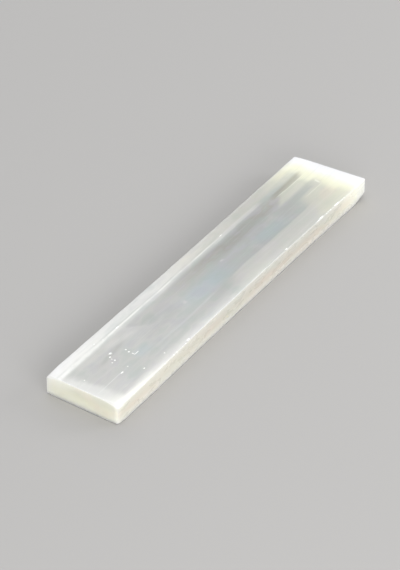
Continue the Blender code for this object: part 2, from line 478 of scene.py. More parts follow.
chip_lenses = grown(
    edge_lines(), chip_tree(), Spacing=2.3 * MM, Size=0.26 * MM, Share=0.30, Roughness=0.14 * MM, Seed=11,
    Material=bruised,
)
print(f"edge chips: {len(chip_lenses.polygons)} faces")

# %% [markdown]
# ## The hand finish
#
# A wheel leaves a machine-flat face, but a hand on wet paper leaves it very slightly wavy, which shows
# only where something is reflected in it. One more tree takes the skin, moves each point by a slow noise
# along its normal, cuts the lenses out of it and hands over the two materials. The noise is taken below
# zero first, so that polishing only ever takes stone away.


# %% Ripple the skin and cut the lenses out
NOISE_TOP = 0.8  # the noise stays just below this


def finish_tree():
    """Ripples the skin along its normals, then cuts every lens out of it."""
    sockets = {"Pits": "Object", "Chips": "Object", "Ripple": "Float", "Ripple length": "Float"}
    tree, given, result = new_tree("hand finish", sockets | {"Material": "Material"})
    place = add(tree, "GeometryNodeInputPosition")
    stretched = add(tree, "ShaderNodeVectorMath", {0: place, 1: (0.45, 1.0, 1.0)}, operation="MULTIPLY")
    size = add(tree, "ShaderNodeMath", {0: 1.0, 1: given["Ripple length"]}, operation="DIVIDE")
    noise = add(tree, "ShaderNodeTexNoise", {"Vector": stretched, "Scale": size, "Detail": 1.0})
    height = add(tree, "ShaderNodeMath", {0: noise.outputs["Fac"], 1: NOISE_TOP}, operation="SUBTRACT")
    height = add(tree, "ShaderNodeMath", {0: height, 1: given["Ripple"]}, operation="MULTIPLY")
    push = add(tree, "ShaderNodeVectorMath", {
        0: add(tree, "GeometryNodeInputNormal"), "Scale": height,
    }, operation="SCALE")
    rippled = add(tree, "GeometryNodeSetPosition", {"Geometry": given["Geometry"], "Offset": push})
    stone = add(tree, "GeometryNodeSetMaterial", {"Geometry": rippled, "Material": given["Material"]})
    cut = add(tree, "GeometryNodeMeshBoolean", {"Mesh 1": stone}, operation="DIFFERENCE", solver="MANIFOLD")
    for lenses in ("Pits", "Chips"):
        shape = add(tree, "GeometryNodeObjectInfo", {"Object": given[lenses]})
        tree.links.new(shape.outputs["Geometry"], cut.inputs["Mesh 2"])
    smooth = add(tree, "GeometryNodeSetShadeSmooth", {"Geometry": cut})
    whole = add(tree, "GeometryNodeRealizeInstances", {"Geometry": smooth})
    tree.links.new(whole.outputs["Geometry"], result["Geometry"])
    return tree


cutters = {
    "Pits": bpy.data.objects.new("Pits", pit_lenses), "Chips": bpy.data.objects.new("Chips", chip_lenses),
}
for cutter in cutters.values():
    bpy.context.scene.collection.objects.link(cutter)
mesh = grown(skin_mesh, finish_tree(), **cutters, **{
    "Ripple": 0.05 * MM, "Ripple length": 9 * MM, "Material": gypsum,
})
for cutter in cutters.values():
    bpy.data.objects.remove(cutter)
mesh.name = "slab_stone"
stone = bpy.data.objects.new("slab_stone", mesh)
bpy.context.scene.collection.objects.link(stone)
print(f"finished stone: {len(mesh.polygons)} faces")

# %% [markdown]
# ## Marks that follow the shape
#
# Some marks follow the shape: the white line along every edge, partly bruise and partly a painted highlight,
# the halo round each pit and chip, and the two lines along the ridge of the left facet, a painted highlight
# and a painted shade beside it. They could be painted by hand on a UV map. They are worked out from the
# shape itself instead, and kept on the mesh as attributes, so they stay in place if a size changes.


# %% Edges, halos and the ridge, as attributes
def keep(name, values):
    """Keeps one number for each point of the mesh under this name, for a material to read."""
    mesh.attributes.new(name, "FLOAT", "POINT").data.foreach_set("value", values.astype(np.float32))


RIDGE_LINES_FADE = (6 * MM, 28 * MM)  # the ridge's two lines fade out between these places
RIDGE_LINES_WIDEN = (-60 * MM, -80 * MM)  # and towards the near end they grow to twice their width


def on_ridge(x, y, offset, width):
    """How close a point is to a line beside the left ridge, from 0 to 1, fading past mid-length."""
    crispness = np.interp(x, RIDGE_LINES_FADE, (1, 0))
    spread = np.interp(x, RIDGE_LINES_WIDEN[::-1], (2, 1))
    return crispness * np.exp(-(((y - ridge_place(x) - offset * spread) / (width * spread)) ** 2))


surface = np.empty(len(mesh.vertices) * 3)
mesh.vertices.foreach_get("co", surface)
surface = surface.reshape(-1, 3)
x, y, z = surface.T
on_top = z > thickness / 2
keep("edge", outside(surface)[1])
on_bruise = np.zeros(len(surface))
for face in mesh.polygons:
    if face.material_index == 1:
        on_bruise[list(face.vertices)] = 1
keep("bruise", on_bruise)
# Along the ridge: a painted highlight, and a painted shade beside it
keep("ridge_light", on_ridge(x, y, -0.35 * MM, 0.40 * MM) * on_top)
keep("ridge_shade", on_ridge(x, y, 0.55 * MM, 0.32 * MM) * on_top)
print(f"{int(on_bruise.sum())} of {len(surface)} points lie on a pit, a nick or a chip")

# %% [markdown]
# ## Selenite, polished by hand
# The milk near the sides and ends is partly painted glow: it stands in for the light that comes in there and
# scatters inside.
#
# Gypsum bends light about as much as window glass does, with an index of 1.52. Fibres, and the films of
# brine trapped between them, scatter light several millimetres deep, so the stone glows rather than
# shines. Where light comes in from two sides, near an edge, it turns milky, and where it is deep and clear
# it looks grey.
#
# A shader could follow real fog inside the stone, but the exported model would lose it. Here subsurface
# scattering gives the softness, and the base colour paints where the stone is milky and where it is clear,
# by real distances from its sides and ends. Two small node groups do most of it: silk and veil.
#
# ### Silk and veils
#
# Silk is noise drawn out along the fibres, so that it reads as threads. A veil is one bundle of fibres: a
# band along X with soft ends and soft sides. As groups they are wired once and used many times.


# %% Silk and veil, as node groups
def new_group(name, inputs, output):
    """An empty shader group with these inputs, given as name to kind, and one number as its output."""
    group = bpy.data.node_groups.new(name, "ShaderNodeTree")
    for socket, kind in inputs.items():
        group.interface.new_socket(socket, in_out="INPUT", socket_type=f"NodeSocket{kind}")
    group.interface.new_socket(output, in_out="OUTPUT", socket_type="NodeSocketFloat")
    return group, group.nodes.new("NodeGroupInput").outputs, group.nodes.new("NodeGroupOutput").inputs


def silk_group():
    """From 0 to 1: pale and dark threads about Length long along X and Width across, in millimetres."""
    sockets = {"Place": "Vector", "Length": "Float", "Width": "Float"}
    group, given, result = new_group("silk", sockets, "Silk")
    length, width = given["Length"], given["Width"]
    size = add(group, "ShaderNodeCombineXYZ", {"X": length, "Y": width, "Z": width})
    threads = add(group, "ShaderNodeVectorMath", {0: given["Place"], 1: size}, operation="DIVIDE")
    noise = add(group, "ShaderNodeTexNoise", {"Vector": threads, "Scale": 1.0, "Detail": 3.0})
    group.links.new(used(noise), result["Silk"])
    return group


def veil_group():
    """1 inside a band and 0 outside. Lean slants its ends and Slope its sides; Fade and Blur soften them."""
    numbers = dict.fromkeys(("Start", "End", "Low", "High", "Lean", "Slope", "Fade", "Blur"), "Float")
    group, given, result = new_group("veil", {"Place": "Vector"} | numbers, "Veil")
    place = add(group, "ShaderNodeSeparateXYZ", {0: given["Place"]}).outputs
    along = add(group, "ShaderNodeMath", {
        0: given["Lean"], 1: place["Y"], 2: place["X"],
    }, operation="MULTIPLY_ADD")
    across = add(group, "ShaderNodeMath", {
        0: given["Slope"], 1: place["X"], 2: place["Y"],
    }, operation="MULTIPLY_ADD")
    borders = (
        (along, given["Start"], given["Fade"]), (given["End"], along, given["Fade"]),
        (across, given["Low"], given["Blur"]), (given["High"], across, given["Blur"]),
    )
    veil = 1.0
    for inner, outer, softness in borders:
        depth = add(group, "ShaderNodeMath", {0: inner, 1: outer}, operation="SUBTRACT")
        rise = add(group, "ShaderNodeMapRange", {
            "Value": depth, "From Max": softness,
        }, interpolation_type="SMOOTHSTEP")
        veil = add(group, "ShaderNodeMath", {0: veil, 1: rise}, operation="MULTIPLY")
    group.links.new(used(veil), result["Veil"])
    return group


silk, veil = silk_group(), veil_group()
print(f"node groups: {silk.name} of {len(silk.nodes)} nodes and {veil.name} of {len(veil.nodes)}")

# %% [markdown]
# ### Places in the stone, in millimetres
#
# Every pattern reads the object's own coordinates, turned into millimetres. Nothing inside the stone has a
# ruled border, so each place drifts a little, up to 3.5 mm along the fibres and 0.9 mm across them, before
# anything is measured from it.

# %% The stone's own coordinates
GYPSUM_IOR = 1.52
gypsum.use_nodes = True
tree = gypsum.node_tree
shader = tree.nodes["Principled BSDF"]
END_MM, SIDE_MM = half_length / MM, half_width / MM

here = add(tree, "ShaderNodeTexCoord").outputs["Object"]
in_mm = add(tree, "ShaderNodeVectorMath", {0: here, 1: (1 / MM,) * 3}, operation="MULTIPLY")


def lumps(size, detail):
    """A noise whose lumps are about this many millimetres along X, Y and Z."""
    stretched = add(tree, "ShaderNodeMapping", {"Vector": in_mm, "Scale": [1 / length for length in size]})
    return add(tree, "ShaderNodeTexNoise", {"Vector": stretched, "Scale": 1.0, "Detail": detail})


drift = lumps((22, 7, 7), detail=3.0)
drift_off = add(tree, "ShaderNodeVectorMath", {
    0: drift.outputs["Color"], 1: (0.5, 0.5, 0.5),
}, operation="SUBTRACT")
place = add(tree, "ShaderNodeVectorMath", {
    0: drift_off, 1: (7.0, 1.8, 0.0), 2: in_mm,
}, operation="MULTIPLY_ADD")
axis = add(tree, "ShaderNodeSeparateXYZ", {0: place}).outputs


def share_by_place(value, low, high, points):
    """A curve drawn through points, each a place in millimetres and the share there, from 0 to 1."""
    share = add(tree, "ShaderNodeMapRange", {"Value": value, "From Min": low, "From Max": high})
    drawn = add(tree, "ShaderNodeFloatCurve", {"Value": share})
    curve = drawn.mapping.curves[0]
    while len(curve.points) < len(points):
        curve.points.new(0.5, 0.5)
    for point, (at, height) in zip(curve.points, points):
        point.location = ((at - low) / (high - low), height)
    drawn.mapping.update()
    return drawn.outputs["Value"]


print(f"the stone reaches {END_MM:.1f} mm from its middle along X and {SIDE_MM:.1f} mm along Y")

# %% [markdown]
# ### Where it is milky, and where glow is painted
#
# Down the middle the stone is milky at the near end, clearest two thirds of the way along, and milkiest at
# the far end, where the most light comes in. Both long sides glow inwards too. On the left the glow fills
# the facet and stops soon after the ridge, and on the right it reaches further in towards the far end. This
# milk is partly the stone's own and partly painted glow, laid into the colour for the light that comes in at
# the ends and sides.

# %% Milk and painted glow along the middle, and painted glow from both sides
milk_and_glow_along = share_by_place(axis["X"], -END_MM, END_MM, (
    (-101, 0.40), (-95, 0.36), (-80, 0.33), (-60, 0.32), (-30, 0.24), (-4, 0.09), (28, 0.03), (54, 0.03),
    (70, 0.14), (80, 0.32), (88, 0.50), (98, 0.60),
))
side_glow = share_by_place(axis["X"], -END_MM, END_MM, (
    (-101, 1.0), (-80, 0.90), (-50, 0.60), (-5, 0.52), (25, 0.31), (60, 0.13), (78, 0.20), (90, 0.6),
    (98, 1.0),
))
left_reach = add(tree, "ShaderNodeMapRange", {
    "Value": axis["X"], "From Min": -90, "From Max": 60, "To Min": 3.4, "To Max": 4.6,
})
right_reach = add(tree, "ShaderNodeMapRange", {
    "Value": axis["X"], "From Min": -90, "From Max": 60, "To Min": 4.8, "To Max": 12.5,
})
FULL_GLOW_MM = SIDE_MM - LEFT_FACET_WIDTH / MM + 0.4  # the left glow is full from just beyond the ridge
left_inner = add(tree, "ShaderNodeMath", {0: FULL_GLOW_MM, 1: left_reach}, operation="SUBTRACT")
right_inner = add(tree, "ShaderNodeMath", {0: right_reach, 1: -SIDE_MM}, operation="ADD")
left_glow = add(tree, "ShaderNodeMapRange", {
    "Value": axis["Y"], "From Min": left_inner, "From Max": FULL_GLOW_MM,
}, interpolation_type="SMOOTHSTEP")
right_outer = add(tree, "ShaderNodeMapRange", {
    "Value": axis["X"], "From Min": -60, "From Max": 20, "To Min": -SIDE_MM + 1.0, "To Max": -SIDE_MM + 3.4,
})
right_most = add(tree, "ShaderNodeMapRange", {
    "Value": axis["X"], "From Min": -60, "From Max": 30, "To Min": 0.57, "To Max": 0.40,
})
right_glow = add(tree, "ShaderNodeMapRange", {
    "Value": axis["Y"], "From Min": right_inner, "From Max": right_outer, "To Max": right_most,
}, interpolation_type="SMOOTHSTEP")
both_glows = add(tree, "ShaderNodeMath", {0: left_glow, 1: right_glow}, operation="MAXIMUM")
glow = add(tree, "ShaderNodeMath", {0: both_glows, 1: side_glow}, operation="MULTIPLY")

# Laid one over the other, two part-clear layers let through the product of what each lets through
clear_along = add(tree, "ShaderNodeMath", {0: 1.0, 1: milk_and_glow_along}, operation="SUBTRACT")
clear_across = add(tree, "ShaderNodeMath", {0: 1.0, 1: glow}, operation="SUBTRACT")
clear = add(tree, "ShaderNodeMath", {0: clear_along, 1: clear_across}, operation="MULTIPLY")
milk_and_glow = add(tree, "ShaderNodeMath", {0: 1.0, 1: clear}, operation="SUBTRACT")
print(f"milk and glow: {len(tree.nodes)} nodes in the stone so far")

# %% [markdown]
# ### Colours laid one over another
#
# From here the stone's colour is built up like a glaze, from the clear core outwards. Two helpers do the
# laying: one for a colour with an amount, and one for a colour inside a veil. The core is grey, a little
# olive towards its left side and blue in its middle, and its grey is partly painted shade, for the dark seen
# down through the clear stone. The milk, with its painted glow, lies over it.

# %% The clear core, and the milk and painted glow over it
AMOUNT, UNDER, OVER = 0, 6, 7  # the inputs of a Mix node that mixes colours


def lay_over(under, amount, over):
    """Lays a colour over what is there, by an amount from 0 to 1."""
    over = linear(over) if isinstance(over, str) else over
    return add(tree, "ShaderNodeMix", {AMOUNT: amount, UNDER: under, OVER: over}, data_type="RGBA")


def lay_veil(under, over, strength, start, end, low, high, lean=0.0, slope=0.0, fade=10.0, blur=1.5):
    """Lays a band of fibres over what is there: its two ends and its two sides, in millimetres."""
    band = add(tree, "ShaderNodeGroup", {
        "Place": place, "Start": start, "End": end, "Low": low, "High": high, "Lean": lean, "Slope": slope,
        "Fade": fade, "Blur": blur,
    }, node_tree=veil)
    amount = add(tree, "ShaderNodeMath", {0: band, 1: strength}, operation="MULTIPLY")
    return lay_over(under, amount, over)


# The grey of the clear core is partly painted shade, for the dark seen through the stone
CLEAR_GREY, CLEAR_OLIVE, CLEAR_BLUE = "#B0B1AD", "#AAA9A1", "#ABB6B8"
# The two milks are partly the stone's own colour and partly painted glow, and the last white is the painted
# glow of the far end
MILK_AND_GLOW, CREAM_MILK_AND_GLOW, END_GLOW_WHITE = "#F6F5EF", "#F4F4DC", "#FFFFF9"

core = lay_veil(linear(CLEAR_GREY), CLEAR_OLIVE, 1.0, -60, 110, 2.4, 12, fade=50, blur=4)
core = lay_veil(core, CLEAR_BLUE, 1.0, -38, 16, -9.6, 3.4, fade=24, blur=4.5)
core = lay_veil(core, CLEAR_BLUE, 0.7, 16, 56, -9.4, 0.6, lean=1.0, fade=18, blur=3.5)
far_half = add(tree, "ShaderNodeMapRange", {"Value": axis["X"], "From Min": 40, "From Max": 84})
milk_and_glow_colour = lay_over(linear(MILK_AND_GLOW), far_half, CREAM_MILK_AND_GLOW)
stone_colour = lay_over(core, milk_and_glow, milk_and_glow_colour)
print(f"core and milk: {len(tree.nodes)} nodes")

# %% [markdown]
# ### Clouds
#
# Held up to the light, the stone changes tint slowly from pink to blue. Where it is clear there are
# smaller wisps of lilac and green as well, as in mother of pearl. One noise for each, read from both of
# its ends, lays two tints that never overlap.

# %% Clouds and wisps
clouds = lumps((15, 6, 6), detail=2.0)
for low, high, strength, tint in ((0.52, 0.68, 0.26, "#CDC7C5"), (0.48, 0.32, 0.22, "#B4BDBD")):
    amount = add(tree, "ShaderNodeMapRange", {
        "Value": clouds, "From Min": low, "From Max": high, "To Max": strength,
    })
    stone_colour = lay_over(stone_colour, amount, tint)
wisps = lumps((9, 4, 4), detail=1.0)
for low, high, strength, tint in ((0.53, 0.66, 0.34, "#BBB6BF"), (0.47, 0.34, 0.34, "#AEBAB1")):
    amount = add(tree, "ShaderNodeMapRange", {
        "Value": wisps, "From Min": low, "From Max": high, "To Max": strength,
    })
    amount = add(tree, "ShaderNodeMath", {0: amount, 1: clear}, operation="MULTIPLY")
    stone_colour = lay_over(stone_colour, amount, tint)
print(f"clouds and wisps: {len(tree.nodes)} nodes")

# %% [markdown]
# ### An old break that healed
#
# A quarter of the way along, a break ran through the growing stone and healed. It shows as a faint arc,
# paler on its near side and darker on its far side: two rings round one centre, seen only inside one veil.

# %% The arc of the break
BREAK_CENTRE_MM = (-43.5, 12.4, 0.0)
wobbled = add(tree, "ShaderNodeVectorMath", {
    0: drift_off, 1: (9.0, 9.0, 0.0), 2: in_mm,
}, operation="MULTIPLY_ADD")
in_plan = add(tree, "ShaderNodeVectorMath", {0: wobbled, 1: (1.0, 1.0, 0.0)}, operation="MULTIPLY")
from_break = add(tree, "ShaderNodeVectorMath", {
    0: in_plan, 1: BREAK_CENTRE_MM,
}, operation="DISTANCE").outputs["Value"]
for start, end, far, strength, tint in ((10.4, 12.0, 20, 0.26, "#E4E1DB"), (12.0, 9.2, 1, 0.15, "#A09F9C")):
    rising = add(tree, "ShaderNodeMapRange", {"Value": from_break, "From Min": start, "From Max": end})
    fading = add(tree, "ShaderNodeMapRange", {
        "Value": from_break, "From Min": end, "From Max": far, "To Min": strength, "To Max": 0.0,
    })
    amount = add(tree, "ShaderNodeMath", {0: rising, 1: fading}, operation="MULTIPLY")
    stone_colour = lay_veil(stone_colour, tint, amount, -64, -36, -1, 11, fade=8.0, blur=2.0)
print(f"healed break: {len(tree.nodes)} nodes")

# %% [markdown]
# ### Veils
#
# Bundles of fibres a little milkier or clearer than their neighbours lie all through the stone. Each is a
# band along X with its own tint. They are few and all different, so they are placed one by one, starting at
# the near end, where they are broad and milky. A few bands paint light instead: glow at the ends, where
# light comes in, and a shade along the right edge.

# %% Veils at the near end
# A painted glow along the sawn end, for the light that comes in through it, and more of it at its right
# corner
stone_colour = lay_veil(stone_colour, "#ECEBE6", 0.62, -110, -94.5, -20, 13, lean=0.12, fade=4.0, blur=6)
stone_colour = lay_veil(stone_colour, "#F4F3EA", 0.52, -140, -107.5, -20, -4, lean=1.0, fade=7.0, blur=3)
# One white thread that starts at the end, then broad, faint bands
stone_colour = lay_veil(stone_colour, "#F2F2F0", 0.50, -101, -81, -7.4, -6.7, fade=3, blur=0.4)
stone_colour = lay_veil(stone_colour, "#DDD9D2", 0.45, -101, -54, 6.2, 11.8, fade=12, blur=3)
stone_colour = lay_veil(stone_colour, "#DDDAD6", 0.50, -76, -50, -14.2, -8.2, slope=0.28, fade=9, blur=3)
stone_colour = lay_veil(stone_colour, "#9A9991", 0.30, -90, -60, 8.4, 13.0, slope=-0.09, fade=11, blur=2.6)
stone_colour = lay_veil(stone_colour, "#E6E5E0", 0.22, -110, -80, -20, -5, fade=9, blur=5)
stone_colour = lay_veil(stone_colour, "#B4C6CB", 0.32, -72, -57, -10, -1.5, fade=6, blur=3.5)
stone_colour = lay_veil(stone_colour, "#A5A5A2", 0.20, -62, -26, -5, 7.5, fade=10, blur=3)
# The milk beside the right shoulder is broken up into small flecks, and the left facet is whitest near the
# end, a painted glow
mottle = lumps((4.5, 1.6, 1.6), detail=3.0)
mottle_strength = add(tree, "ShaderNodeMapRange", {
    "Value": mottle, "From Min": 0.46, "From Max": 0.60, "To Max": 0.34,
})
stone_colour = lay_veil(stone_colour, "#CFCEC8", mottle_strength, -99, -44, -18.6, -14.6, fade=12, blur=1.6)
stone_colour = lay_veil(stone_colour, "#FDFDFA", 0.42, -110, -84, 11.6, 24, fade=14, blur=2.4)
print(f"veils at the near end: {len(tree.nodes)} nodes")

# %% [markdown]
# ### Veils along the middle
#
# Past the pits the stone clears, and its bands grow long and faint. The facet and the right side turn
# warmer, and the clearest part, between them, has one darker band.

# %% Veils along the middle
# A long pale thread, and two small flecks
stone_colour = lay_veil(stone_colour, "#DADCDC", 0.30, -62, -6, -9.8, -8.0, fade=14, blur=0.8)
stone_colour = lay_veil(stone_colour, "#E8E0DE", 0.30, -27.6, -24, -3.4, 0.2, fade=1.5, blur=1.6)
stone_colour = lay_veil(stone_colour, "#E4E2E0", 0.36, 7.2, 10.4, 0.9, 2.5, fade=1.0, blur=0.8)
# Warmer along both sides, and darker between them
stone_colour = lay_veil(stone_colour, "#DAD6C1", 0.26, -30, 92, 11.9, 30, fade=36, blur=1.2)
stone_colour = lay_veil(stone_colour, "#DEDCD1", 0.38, -8, 80, -22, -8.0, fade=18, blur=0.9)
stone_colour = lay_veil(stone_colour, "#908F87", 0.29, 2, 69, 1.2, 11.0, lean=1.2, fade=26, blur=3.2)
# A warm patch on the facet, a pale band along the ridge, and a dark band along the right edge that is
# painted shade, against the light its rounded edge catches
stone_colour = lay_veil(stone_colour, "#E4DFD0", 0.30, -3, 8, 15, 18.6, fade=4, blur=1.5)
stone_colour = lay_veil(stone_colour, "#F4F2EA", 0.28, 13, 60, 10.4, 13.4, fade=10, blur=1.0)
stone_colour = lay_veil(stone_colour, "#B6B6AF", 0.50, 13, 82, -24, -16.9, fade=8, blur=1.1)
print(f"veils along the middle: {len(tree.nodes)} nodes")

# %% [markdown]
# ### Veils towards the far end
#
# The milk comes back in bands that begin at different places, so its border is ragged, like the frayed end
# of a rope. Towards the far end this milk is partly painted glow, for the light that comes in there.

# %% Veils towards the far end
# A pale band, a dark one to its left, and a white thread where they meet
stone_colour = lay_veil(stone_colour, "#E0E1CC", 0.40, 52, 150, 1.2, 9.4, lean=-1.8, fade=6, blur=1.9)
stone_colour = lay_veil(stone_colour, "#8E8A73", 0.42, 60, 94, 7.0, 11.2, fade=9, blur=1.6)
stone_colour = lay_veil(stone_colour, "#F8F8EA", 0.50, 64, 94, 7.1, 7.7, fade=4, blur=0.3)
# To the right of them a bluish band, then a warm one as far as the right side, with a patch of peach
stone_colour = lay_veil(stone_colour, "#A7ACA6", 0.36, 50, 91, -10.9, -4.5, slope=-0.10, fade=12, blur=2.6)
stone_colour = lay_veil(stone_colour, "#DEDCC6", 0.42, 66.5, 150, -21, -1.4, lean=-0.3, fade=9, blur=2.2)
stone_colour = lay_veil(stone_colour, "#E4D4C4", 0.28, 82, 100, -14, -5.5, lean=-0.8, fade=5, blur=2.5)
# A pale thread near the middle, and two layers of cream on the facet
stone_colour = lay_veil(stone_colour, "#F0F1E6", 0.34, 72, 90, -4.2, -3.3, fade=6, blur=0.4)
stone_colour = lay_veil(stone_colour, "#DCDBC8", 0.36, 62, 98, 13.0, 20, fade=14, blur=1.8)
stone_colour = lay_veil(stone_colour, "#F6F2D2", 0.42, 74, 98, 13.8, 19.4, fade=9, blur=2.2)
# A short white crack across the fibres
stone_colour = lay_veil(stone_colour, "#FFFFF4", 0.50, 87.3, 89.2, -3.2, 1.0, lean=-0.30, fade=0.9, blur=1.1)
print(f"veils towards the far end: {len(tree.nodes)} nodes")

# %% [markdown]
# ### The white end, a painted glow
#
# The last centimetre is painted white right through, a painted glow for the light that comes in from the end
# as well. Just before the white there is a rim of cream, painted glow too, so the cream is laid first and
# the white over it.

# %% Painted glow of the far end: cream, and then as white as snow
stone_colour = lay_veil(stone_colour, "#FAF9DE", 0.92, 85.6, 140, -30, 30, lean=0.04, fade=7.0)
stone_colour = lay_veil(stone_colour, "#FBFADF", 0.55, 83.8, 140, 1.0, 8.6, lean=0.1, fade=4.4, blur=2.0)
stone_colour = lay_veil(stone_colour, "#FBFADF", 0.42, 83.6, 140, -13, -2, fade=5.5, blur=2.4)
stone_colour = lay_veil(stone_colour, END_GLOW_WHITE, 1.0, 90.8, 140, -30, 30, lean=-0.03, fade=7.5)
print(f"white end: {len(tree.nodes)} nodes")

# %% [markdown]
# ### Silk over everything, and the ridge
#
# Real gypsum fibres are far finer than a tenth of a millimetre, too fine to show. What the eye sees is
# bundles of them, so the silk is drawn at two sizes: 3.4 mm wide for bundles and 0.7 mm for threads. Along
# the ridge of the left facet a painted highlight is laid and, beside it, a faint painted shade line. Both
# are broken up where the ridge is worn.

# %% Two sizes of silk, and the two lines of the ridge
broad_silk = add(tree, "ShaderNodeGroup", {"Place": in_mm, "Length": 70.0, "Width": 3.4}, node_tree=silk)
fine_silk = add(tree, "ShaderNodeGroup", {"Place": in_mm, "Length": 22.0, "Width": 0.7}, node_tree=silk)
both_silks = add(tree, "ShaderNodeMath", {0: broad_silk, 1: fine_silk}, operation="ADD")
for low, high, strength, tint in ((1.02, 1.4, 0.07, "#FFFFFF"), (0.98, 0.65, 0.07, "#8D9090")):
    amount = add(tree, "ShaderNodeMapRange", {
        "Value": both_silks, "From Min": low, "From Max": high, "To Max": strength,
    }, interpolation_type="SMOOTHSTEP")
    stone_colour = lay_over(stone_colour, amount, tint)

wear = lumps((9, 5, 3), detail=4.0)
wear_strength = add(tree, "ShaderNodeMapRange", {
    "Value": wear, "From Min": 0.38, "From Max": 0.58, "To Min": 0.35, "To Max": 1.0,
})
# The ridge's painted highlight, and the painted shade beside it
for name, strength, tint in (("ridge_light", 0.62, "#FFFFF8"), ("ridge_shade", 0.30, "#B4B6B0")):
    line = add(tree, "ShaderNodeAttribute", attribute_name=name).outputs["Fac"]
    amount = add(tree, "ShaderNodeMath", {0: line, 1: strength}, operation="MULTIPLY")
    amount = add(tree, "ShaderNodeMath", {0: amount, 1: wear_strength}, operation="MULTIPLY")
    stone_colour = lay_over(stone_colour, amount, tint)
print(f"silk and ridge: {len(tree.nodes)} nodes")

# %% [markdown]
# ### The long sides
#
# Across the fibres the eye looks into their cut flanks, which are beige with patches of peach and green.
# Under the top edge the colour is painted cooler and darker, a painted shade against the light that gathers
# there, and towards the foot it is painted lighter, a painted light against the shade where the stone meets
# the floor. Towards both ends the sides take on the painted glow of the ends. Which faces are sides is told
# by the normal, so the rounded edges blend from one colour to the other.

# %% The colour of the long sides
normal = add(tree, "ShaderNodeNewGeometry").outputs["Normal"]
facing = add(tree, "ShaderNodeSeparateXYZ", {0: normal}).outputs
tint_noise = lumps((20, 9, 7), detail=1.0)
side_colour = lay_over(linear("#D2CCC0"), add(tree, "ShaderNodeMapRange", {
    "Value": tint_noise, "From Min": 0.47, "From Max": 0.68, "To Max": 0.6,
}), "#DACEC1")
side_colour = lay_over(side_colour, add(tree, "ShaderNodeMapRange", {
    "Value": tint_noise, "From Min": 0.50, "From Max": 0.32, "To Max": 0.5,
}), "#CED1C4")
# Painted shade: cooler and darker under the top edge
side_colour = lay_over(side_colour, add(tree, "ShaderNodeMapRange", {
    "Value": axis["Z"], "From Min": 5.0, "From Max": 8.8, "To Max": 0.6,
}), "#C9CBC5")
# Painted glow of the ends, carried onto the sides
end_glow_on_sides = share_by_place(axis["X"], -END_MM, END_MM, (
    (-100, 0.18), (-75, 0.20), (-40, 0.10), (0, 0.0), (55, 0.0), (72, 0.12), (84, 0.5), (96, 1.0),
))
side_colour = lay_over(side_colour, end_glow_on_sides, "#FFFBE8")
# Painted light: lighter towards the foot, against the shade where the stone meets the floor
side_colour = lay_over(side_colour, add(tree, "ShaderNodeMapRange", {
    "Value": axis["Z"], "From Min": 4.5, "From Max": 0.0, "To Max": 0.6,
}), "#FFFFF2")
upwards = add(tree, "ShaderNodeMath", {0: facing["Z"]}, operation="ABSOLUTE")
is_side = add(tree, "ShaderNodeMapRange", {
    "Value": upwards, "From Min": 0.85, "From Max": 0.35,
}, interpolation_type="SMOOTHSTEP")
stone_colour = lay_over(stone_colour, is_side, side_colour)
print(f"long sides: {len(tree.nodes)} nodes")

# %% [markdown]
# ### The sawn end
#
# The near end cuts straight across the fibres. Light runs along them like light in a glass cable, so the
# whole end glows a pale cream, most of all at its foot and on its left. That glow is painted into the
# colour: paler towards the foot, a painted light against the shade where the end meets the floor, and paler
# on its upper left.

# %% The colour of the near end
is_near_end = add(tree, "ShaderNodeMapRange", {
    "Value": facing["X"], "From Min": -0.70, "From Max": -0.84,
}, interpolation_type="SMOOTHSTEP")
# Painted light: paler towards the foot, against the shade where the end meets the floor
foot = add(tree, "ShaderNodeMapRange", {"Value": axis["Z"], "From Min": 7.5, "From Max": 2.2})
end_colour = lay_over(linear("#E0DFD0"), foot, "#FBF9E2")
end_colour = lay_over(end_colour, add(tree, "ShaderNodeMapRange", {
    "Value": tint_noise, "From Min": 0.5, "From Max": 0.66, "To Max": 0.5,
}), "#EBE2D3")
# Painted glow: paler on the upper left of the end
end_left = add(tree, "ShaderNodeMapRange", {
    "Value": axis["Y"], "From Min": 3.0, "From Max": 12.0, "To Max": 0.55,
})
end_top = add(tree, "ShaderNodeMapRange", {"Value": axis["Z"], "From Min": 2.0, "From Max": 7.5})
end_light = add(tree, "ShaderNodeMath", {0: end_left, 1: end_top}, operation="MULTIPLY")
end_colour = lay_over(end_colour, end_light, "#F8F7EA")
stone_colour = lay_over(stone_colour, is_near_end, end_colour)
print(f"near end: {len(tree.nodes)} nodes")

# %% [markdown]
# ### Shoulder, corners and foot
#
# Wherever the wheel rounded the stone off, it bruised it, and bruised gypsum is white. So the rounded
# shoulder at the near right is milky, partly bruise and partly painted glow. The upright corners carry a
# white line that is partly bruise and partly a painted highlight, for the light their rounding catches. The
# white line at the foot of each face is painted light, against the shade where the stone meets the floor.
# The normal finds the shoulder, and the corners, where it points along X and Y at once. The foot is found by
# its height.

# %% White where the wheel rounded it off, and painted light
shoulder_slope = add(tree, "ShaderNodeMapRange", {"Value": facing["Z"], "From Min": 0.985, "From Max": 0.93})
upright = add(tree, "ShaderNodeMapRange", {"Value": facing["Z"], "From Min": 0.30, "From Max": 0.48})
shoulder_along = share_by_place(axis["X"], -END_MM, END_MM, (
    (-101, 1.0), (-70, 0.75), (-48, 0.0), (101, 0.0),
))
shoulder = add(tree, "ShaderNodeMath", {0: shoulder_slope, 1: upright}, operation="MULTIPLY")
shoulder = add(tree, "ShaderNodeMath", {0: shoulder, 1: shoulder_along}, operation="MULTIPLY")
